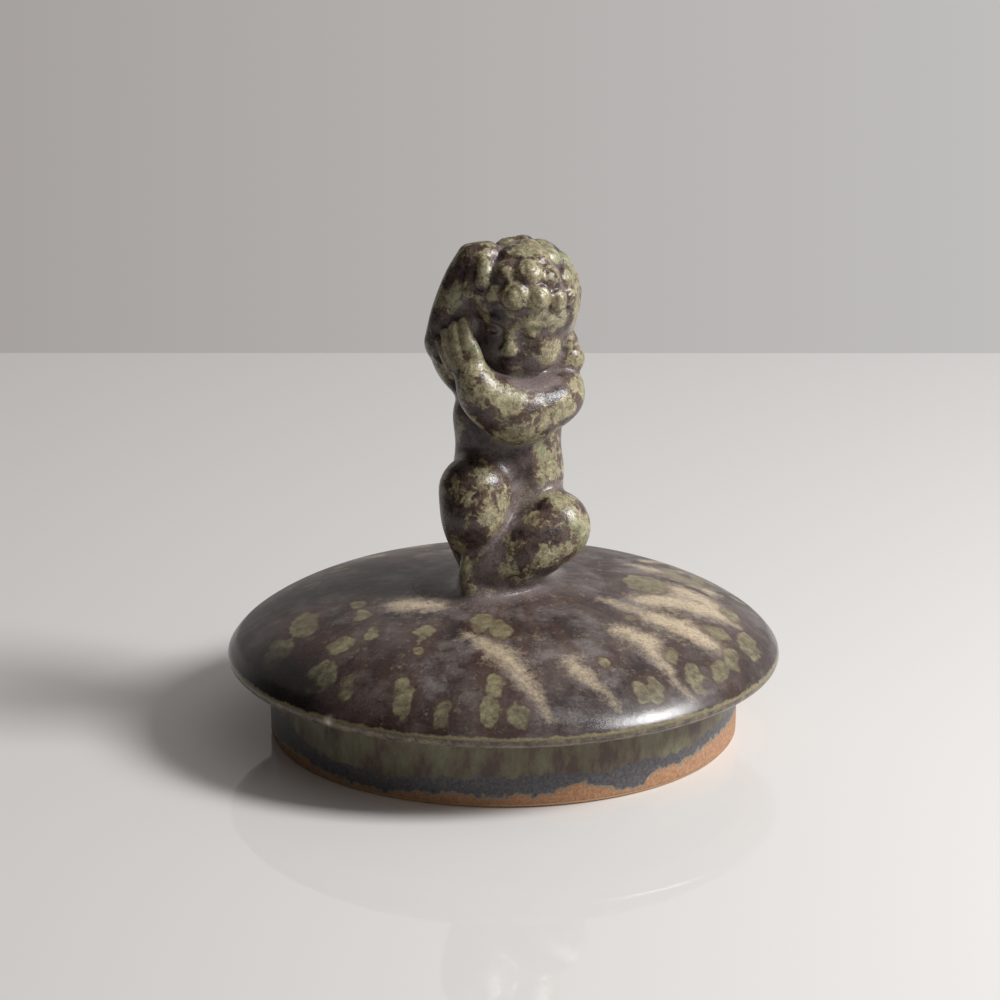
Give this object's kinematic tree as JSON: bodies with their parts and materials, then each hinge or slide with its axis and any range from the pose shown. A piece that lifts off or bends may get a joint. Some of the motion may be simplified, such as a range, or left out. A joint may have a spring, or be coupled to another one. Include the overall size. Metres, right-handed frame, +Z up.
{
  "type": "jar lid",
  "caption": "Round domed stoneware lid with an overhanging rim, a locating flange under it, and a small seated child figure as its knob.",
  "frame": {"origin": "centre of the foot ring, on the surface that the lid stands on", "axes": "+Z up through the dome and the figure; the figure faces -Y; +X is to the right of a viewer who faces the figure, which is the figure's own left"},
  "size_m": [0.13, 0.13, 0.1209],
  "materials": {
    "dome_glaze": "satin mottled purple-brown glaze with olive islands and pale streaks",
    "figure_glaze": "glossy mottled olive glaze over purple-brown",
    "flange_clay": "olive and slate glaze above, bare reddish clay at the foot"
  },
  "bodies": {
    "root": {"lid_dome": "dome_glaze", "locating_flange": "flange_clay", "seat_mound": "dome_glaze", "torso": "figure_glaze", "head": "figure_glaze", "hair": "figure_glaze", "left_arm": "figure_glaze", "left_hand": "figure_glaze", "right_arm": "figure_glaze", "right_hand": "figure_glaze", "left_leg": "figure_glaze", "left_foot": "figure_glaze", "right_leg": "figure_glaze", "right_foot": "figure_glaze"}
  },
  "joints": []
}
